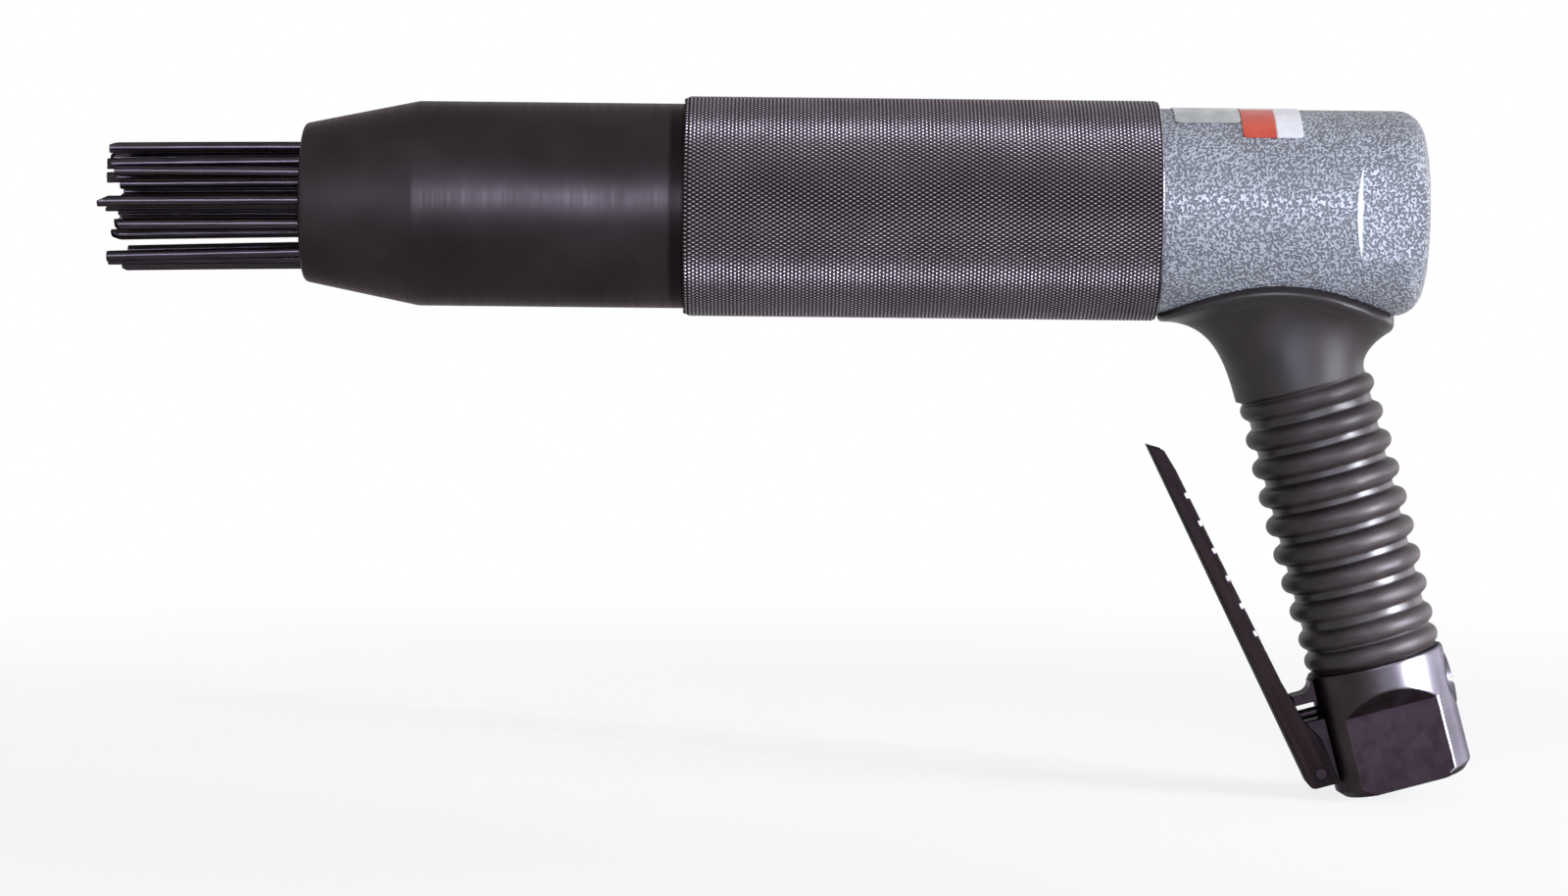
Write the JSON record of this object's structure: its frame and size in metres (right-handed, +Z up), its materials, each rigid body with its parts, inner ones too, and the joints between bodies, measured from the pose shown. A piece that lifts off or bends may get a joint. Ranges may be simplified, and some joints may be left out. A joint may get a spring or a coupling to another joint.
{
  "type": "needle scaler",
  "caption": "Air-driven needle scaler with a pistol grip, knurled barrel sleeve, loose needle bundle and a squeeze lever at the air inlet.",
  "frame": {"origin": "centre of the air inlet's mouth, at the foot of the handle", "axes": "+X back along the barrel, away from the needles; +Z up, square to the barrel; +Y across"},
  "size_m": [0.3821, 0.0612, 0.1936],
  "materials": {
    "hammertone": "grey hammertone paint on a casting",
    "black_steel": "blackened, diamond knurled",
    "browned_steel": "dark browned, satin",
    "grip_rubber": "matt moulded rubber",
    "blued_steel": "blued, turned",
    "sheet_steel": "dark pressed sheet",
    "bright_steel": "ground",
    "needle_steel": "dark drawn wire",
    "spring_steel": "spring wire",
    "bronze": "machined",
    "seal_rubber": "smooth",
    "plate_aluminium": "blank bright plate",
    "label_film": "blank two-colour film"
  },
  "bodies": {
    "frame": {"housing": "hammertone", "lock_sleeve": "black_steel", "front_tube": "browned_steel", "grip_sleeve": "grip_rubber", "inlet_body": "blued_steel", "lever_pin": "bright_steel", "valve_plug": "blued_steel", "rating_plate": "plate_aluminium", "colour_label": "label_film", "valve_seat": "bronze", "valve_spring": "spring_steel", "inlet_strainer": "bronze", "cylinder": "bright_steel", "valve_block": "bright_steel", "valve_cover": "bright_steel", "anvil_bush": "bronze", "return_spring": "spring_steel", "plug_seal": "seal_rubber", "stem_seal": "seal_rubber", "spigot_seal": "seal_rubber", "cylinder_seal": "seal_rubber", "sleeve_seal": "seal_rubber"},
    "lever": {"throttle_lever": "sheet_steel"},
    "throttle_valve": {"throttle_valve": "bright_steel", "valve_washer": "seal_rubber"},
    "piston": {"piston": "bright_steel"},
    "valve_disc": {"valve_disc": "bright_steel"},
    "anvil": {"anvil": "bright_steel", "anvil_seal": "seal_rubber"},
    "needle_holder": {"needle_holder": "bright_steel"},
    "needle_01": {"needle_01": "needle_steel"},
    "needle_02": {"needle_02": "needle_steel"},
    "needle_03": {"needle_03": "needle_steel"},
    "needle_04": {"needle_04": "needle_steel"},
    "needle_05": {"needle_05": "needle_steel"},
    "needle_06": {"needle_06": "needle_steel"},
    "needle_07": {"needle_07": "needle_steel"},
    "needle_08": {"needle_08": "needle_steel"},
    "needle_09": {"needle_09": "needle_steel"},
    "needle_10": {"needle_10": "needle_steel"},
    "needle_11": {"needle_11": "needle_steel"},
    "needle_12": {"needle_12": "needle_steel"},
    "needle_13": {"needle_13": "needle_steel"},
    "needle_14": {"needle_14": "needle_steel"},
    "needle_15": {"needle_15": "needle_steel"},
    "needle_16": {"needle_16": "needle_steel"},
    "needle_17": {"needle_17": "needle_steel"},
    "needle_18": {"needle_18": "needle_steel"},
    "needle_19": {"needle_19": "needle_steel"},
    "needle_20": {"needle_20": "needle_steel"},
    "needle_21": {"needle_21": "needle_steel"},
    "needle_22": {"needle_22": "needle_steel"},
    "needle_23": {"needle_23": "needle_steel"}
  },
  "joints": [
    {"name": "lever_pivot", "type": "hinge", "parent": "frame", "child": "lever", "pos_m": [-0.02419, 0, 0.00244], "axis": [0, 1, 0], "range_deg": [0, 10.9], "stiffness_Nm_per_rad": 1.5},
    {"name": "valve_slide", "type": "slide", "parent": "frame", "child": "throttle_valve", "axis": [0.965, 0, 0.2622], "range_m": [0, 0.003], "deforming": ["valve_spring"]},
    {"name": "piston_slide", "type": "slide", "parent": "frame", "child": "piston", "axis": [1, 0, 0], "range_m": [0, 0.033]},
    {"name": "valve_disc_slide", "type": "slide", "parent": "frame", "child": "valve_disc", "axis": [1, 0, 0], "range_m": [0, 0.0007]},
    {"name": "anvil_slide", "type": "slide", "parent": "frame", "child": "anvil", "axis": [-1, 0, 0], "range_m": [0, 0.0075], "stiffness_N_per_m": 4000, "deforming": ["return_spring"]},
    {"name": "holder_slide", "type": "slide", "parent": "anvil", "child": "needle_holder", "axis": [-1, 0, 0], "range_m": [0, 0.004], "stiffness_N_per_m": 4000, "deforming": ["return_spring"]},
    {"name": "needle_01_float", "type": "slide", "parent": "needle_holder", "child": "needle_01", "axis": [1, 0, 0], "range_m": [0, 0.0022]},
    {"name": "needle_02_float", "type": "slide", "parent": "needle_holder", "child": "needle_02", "axis": [1, 0, 0], "range_m": [0, 0.0022]},
    {"name": "needle_03_float", "type": "slide", "parent": "needle_holder", "child": "needle_03", "axis": [1, 0, 0], "range_m": [0, 0.0022]},
    {"name": "needle_04_float", "type": "slide", "parent": "needle_holder", "child": "needle_04", "axis": [1, 0, 0], "range_m": [0, 0.0022]},
    {"name": "needle_05_float", "type": "slide", "parent": "needle_holder", "child": "needle_05", "axis": [1, 0, 0], "range_m": [0, 0.0022]},
    {"name": "needle_06_float", "type": "slide", "parent": "needle_holder", "child": "needle_06", "axis": [1, 0, 0], "range_m": [0, 0.0022]},
    {"name": "needle_07_float", "type": "slide", "parent": "needle_holder", "child": "needle_07", "axis": [1, 0, 0], "range_m": [0, 0.0022]},
    {"name": "needle_08_float", "type": "slide", "parent": "needle_holder", "child": "needle_08", "axis": [1, 0, 0], "range_m": [0, 0.0022]},
    {"name": "needle_09_float", "type": "slide", "parent": "needle_holder", "child": "needle_09", "axis": [1, 0, 0], "range_m": [0, 0.0022]},
    {"name": "needle_10_float", "type": "slide", "parent": "needle_holder", "child": "needle_10", "axis": [1, 0, 0], "range_m": [0, 0.0022]},
    {"name": "needle_11_float", "type": "slide", "parent": "needle_holder", "child": "needle_11", "axis": [1, 0, 0], "range_m": [0, 0.0022]},
    {"name": "needle_12_float", "type": "slide", "parent": "needle_holder", "child": "needle_12", "axis": [1, 0, 0], "range_m": [0, 0.0022]},
    {"name": "needle_13_float", "type": "slide", "parent": "needle_holder", "child": "needle_13", "axis": [1, 0, 0], "range_m": [0, 0.0022]},
    {"name": "needle_14_float", "type": "slide", "parent": "needle_holder", "child": "needle_14", "axis": [1, 0, 0], "range_m": [0, 0.0022]},
    {"name": "needle_15_float", "type": "slide", "parent": "needle_holder", "child": "needle_15", "axis": [1, 0, 0], "range_m": [0, 0.0022]},
    {"name": "needle_16_float", "type": "slide", "parent": "needle_holder", "child": "needle_16", "axis": [1, 0, 0], "range_m": [0, 0.0022]},
    {"name": "needle_17_float", "type": "slide", "parent": "needle_holder", "child": "needle_17", "axis": [1, 0, 0], "range_m": [0, 0.0022]},
    {"name": "needle_18_float", "type": "slide", "parent": "needle_holder", "child": "needle_18", "axis": [1, 0, 0], "range_m": [0, 0.0022]},
    {"name": "needle_19_float", "type": "slide", "parent": "needle_holder", "child": "needle_19", "axis": [1, 0, 0], "range_m": [0, 0.0022]},
    {"name": "needle_20_float", "type": "slide", "parent": "needle_holder", "child": "needle_20", "axis": [1, 0, 0], "range_m": [0, 0.0022]},
    {"name": "needle_21_float", "type": "slide", "parent": "needle_holder", "child": "needle_21", "axis": [1, 0, 0], "range_m": [0, 0.0022]},
    {"name": "needle_22_float", "type": "slide", "parent": "needle_holder", "child": "needle_22", "axis": [1, 0, 0], "range_m": [0, 0.0022]},
    {"name": "needle_23_float", "type": "slide", "parent": "needle_holder", "child": "needle_23", "axis": [1, 0, 0], "range_m": [0, 0.0022]}
  ],
  "couplings": [
    {"joint": "valve_slide", "follows": "lever_pivot", "m_per_rad": 0.015769}
  ]
}
